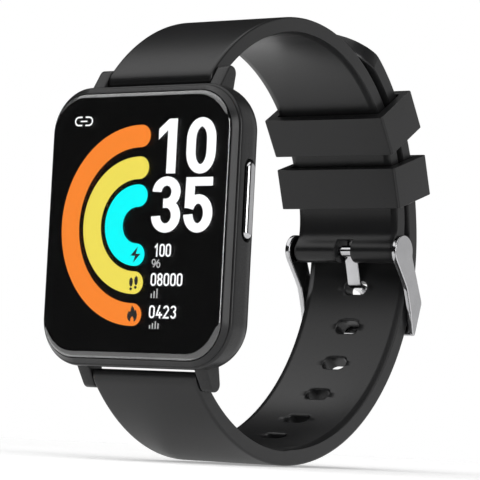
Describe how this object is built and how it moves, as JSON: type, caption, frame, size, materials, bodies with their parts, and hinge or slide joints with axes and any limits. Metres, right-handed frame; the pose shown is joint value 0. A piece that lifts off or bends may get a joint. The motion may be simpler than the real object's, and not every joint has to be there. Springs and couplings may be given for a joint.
{
  "type": "smartwatch",
  "caption": "Rectangular smartwatch with a curved-edge touch screen, one side button and a buckled silicone strap with sliding keepers.",
  "frame": {"origin": "centre of the sensor window's flat outer face, which rests on the wrist", "axes": "+Z to 12 o'clock, -Y out of the screen, +Y from the case towards the wrist, +X to the button side"},
  "size_m": [0.0385, 0.0696, 0.0751],
  "materials": {
    "case_alloy": "satin black metal coating",
    "cover_glass": "polished",
    "display": "black screen with lit figures",
    "silicone": "matt black silicone",
    "polished_steel": "polished",
    "spring_steel": "drawn",
    "back_plastic": "fine matt",
    "inner_plastic": "moulded",
    "sensor_lens": "dark polished",
    "seal": "matt",
    "circuit_board": "solder mask",
    "tin_plate": "bright",
    "battery_foil": "crinkled foil pouch",
    "gold_plate": "gold plated",
    "polyimide": "amber film",
    "green_led": "clear resin",
    "tungsten": "sintered"
  },
  "bodies": {
    "case": {"mid_case": "case_alloy", "bezel_ring": "case_alloy", "cover_glass": "cover_glass", "glass_gasket": "seal", "display_panel": "display", "display_flex": "polyimide", "inner_frame": "inner_plastic", "main_board": "circuit_board", "shield_can": "tin_plate", "battery": "battery_foil", "antenna_strip": "gold_plate", "motor_can": "tin_plate", "button_switch": "inner_plastic", "back_cover": "back_plastic", "back_gasket": "seal", "case_screw_top_left": "spring_steel", "case_screw_top_right": "spring_steel", "case_screw_bottom_left": "spring_steel", "case_screw_bottom_right": "spring_steel", "sensor_window": "sensor_lens", "sensor_board": "circuit_board", "green_led_upper": "green_led", "green_led_lower": "green_led", "photodiode_left": "sensor_lens", "photodiode_right": "sensor_lens", "charge_contact_left": "gold_plate", "charge_contact_right": "gold_plate", "charge_magnet_left": "tin_plate", "charge_magnet_right": "tin_plate", "bar_upper_tube": "spring_steel", "bar_upper_spring": "spring_steel", "bar_lower_tube": "spring_steel", "bar_lower_spring": "spring_steel"},
    "motor_rotor": {"motor_weight": "tungsten"},
    "side_button": {"button_cap": "polished_steel", "button_o_ring": "seal", "button_clip": "spring_steel"},
    "upper_plunger_left": {"bar_upper_plunger_left": "spring_steel"},
    "upper_plunger_right": {"bar_upper_plunger_right": "spring_steel"},
    "lower_plunger_left": {"bar_lower_plunger_left": "spring_steel"},
    "lower_plunger_right": {"bar_lower_plunger_right": "spring_steel"},
    "strap_upper": {"upper_strap": "silicone"},
    "strap_lower": {"lower_strap": "silicone"},
    "keeper_far": {"keeper_upper": "silicone"},
    "keeper_near": {"keeper_lower": "silicone"},
    "buckle": {"buckle_frame": "polished_steel", "buckle_pin": "spring_steel"},
    "tongue": {"buckle_tongue": "polished_steel"}
  },
  "joints": [
    {"name": "button_press", "type": "slide", "parent": "case", "child": "side_button", "axis": [-1, 0, 0], "range_m": [0, 0.00035], "stiffness_N_per_m": 4000},
    {"name": "motor_spin", "type": "hinge", "parent": "case", "child": "motor_rotor", "pos_m": [0.0132, -0.0059, -0.0123], "axis": [0, 0, 1], "continuous": true},
    {"name": "upper_plunger_left_press", "type": "slide", "parent": "case", "child": "upper_plunger_left", "axis": [1, 0, 0], "range_m": [0, 0.00105], "stiffness_N_per_m": 900, "deforming": ["bar_upper_spring"]},
    {"name": "upper_plunger_right_press", "type": "slide", "parent": "case", "child": "upper_plunger_right", "axis": [-1, 0, 0], "range_m": [0, 0.00105], "stiffness_N_per_m": 900},
    {"name": "lower_plunger_left_press", "type": "slide", "parent": "case", "child": "lower_plunger_left", "axis": [1, 0, 0], "range_m": [0, 0.00105], "stiffness_N_per_m": 900, "deforming": ["bar_lower_spring"]},
    {"name": "lower_plunger_right_press", "type": "slide", "parent": "case", "child": "lower_plunger_right", "axis": [-1, 0, 0], "range_m": [0, 0.00105], "stiffness_N_per_m": 900},
    {"name": "upper_strap_hinge", "type": "hinge", "parent": "case", "child": "strap_upper", "pos_m": [0, -0.0043, 0.02475], "axis": [1, 0, 0], "range_deg": [-0.4, 0.1]},
    {"name": "lower_strap_hinge", "type": "hinge", "parent": "case", "child": "strap_lower", "pos_m": [0, -0.0043, -0.02475], "axis": [1, 0, 0], "range_deg": [-0.12, 0.42]},
    {"name": "keeper_far_slide", "type": "hinge", "parent": "strap_upper", "child": "keeper_far", "pos_m": [0, 0.0204, 0.00525], "axis": [1, 0, 0], "range_deg": [-1.2, 24]},
    {"name": "keeper_near_slide", "type": "hinge", "parent": "strap_upper", "child": "keeper_near", "pos_m": [0, 0.0217, 0.0029], "axis": [1, 0, 0], "range_deg": [-1.2, 1.2]},
    {"name": "buckle_swing", "type": "hinge", "parent": "strap_upper", "child": "buckle", "pos_m": [0, 0.0513, 0.001], "axis": [1, 0, 0], "range_deg": [0, 1.5]},
    {"name": "tongue_swing", "type": "hinge", "parent": "strap_upper", "child": "tongue", "pos_m": [0, 0.0513, 0.001], "axis": [1, 0, 0], "range_deg": [0, 1.5]}
  ],
  "couplings": [
    {"joint": "lower_strap_hinge", "follows": "upper_strap_hinge", "ratio": -1},
    {"joint": "tongue_swing", "follows": "buckle_swing", "ratio": 1}
  ]
}
